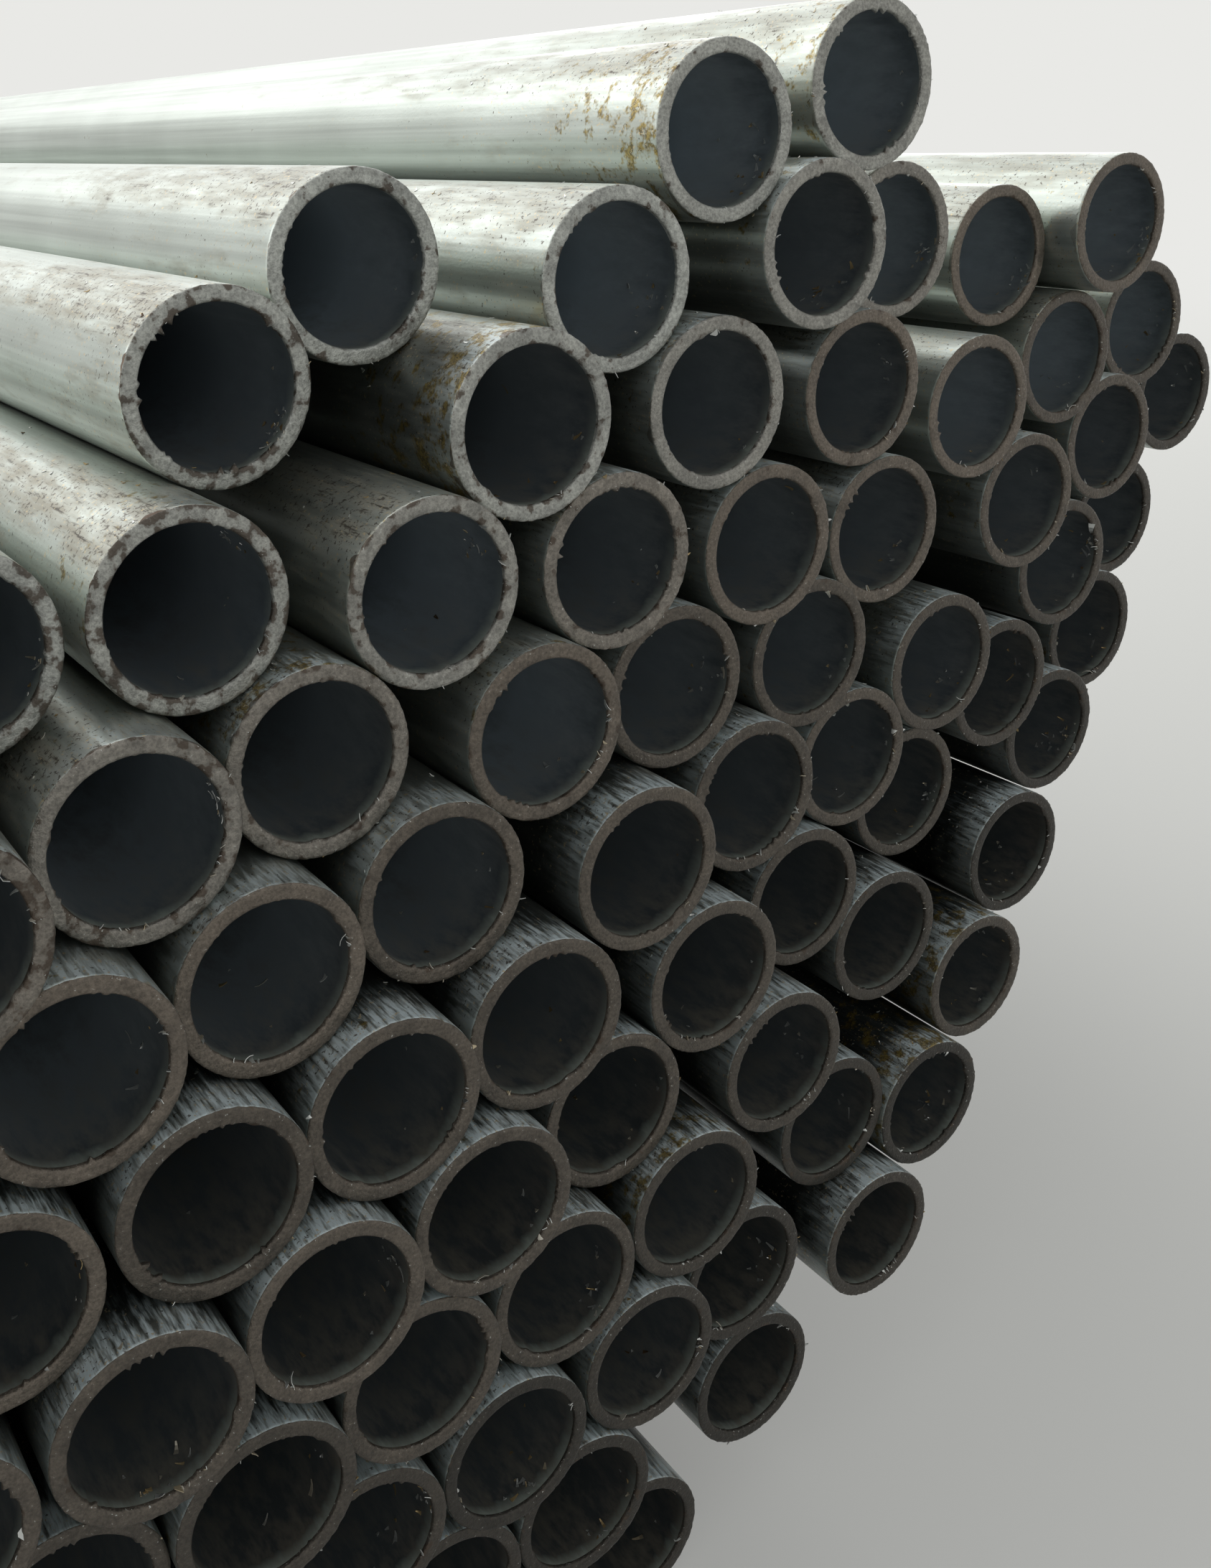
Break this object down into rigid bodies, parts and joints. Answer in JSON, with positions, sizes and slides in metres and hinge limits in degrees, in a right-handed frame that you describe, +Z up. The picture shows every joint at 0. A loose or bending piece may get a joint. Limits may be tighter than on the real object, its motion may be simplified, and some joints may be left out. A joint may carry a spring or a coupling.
{
  "type": "stack of steel tubes",
  "caption": "Loose stack of galvanised round steel tubes lying along one another, with open, unevenly set sawn ends.",
  "frame": {"origin": "centre of the stack's bounding box, on the floor under the lowest row", "axes": "+Y along the tubes, away from the uneven ends that the picture shows; +Z up; +X to the right as one faces those ends"},
  "size_m": [0.5442, 3.087, 0.3387],
  "materials": {
    "galvanised_steel": "satin hot-dip galvanised, weathered"
  },
  "bodies": {
    "root": {"row_01_tubes": "galvanised_steel", "row_02_tubes": "galvanised_steel", "row_03_tubes": "galvanised_steel", "row_04_tubes": "galvanised_steel", "row_05_tubes": "galvanised_steel", "row_06_tubes": "galvanised_steel", "row_07_tubes": "galvanised_steel", "row_08_tubes": "galvanised_steel", "row_09_tubes": "galvanised_steel", "row_10_tubes": "galvanised_steel", "row_11_tubes": "galvanised_steel", "row_12_tubes": "galvanised_steel"}
  },
  "joints": []
}
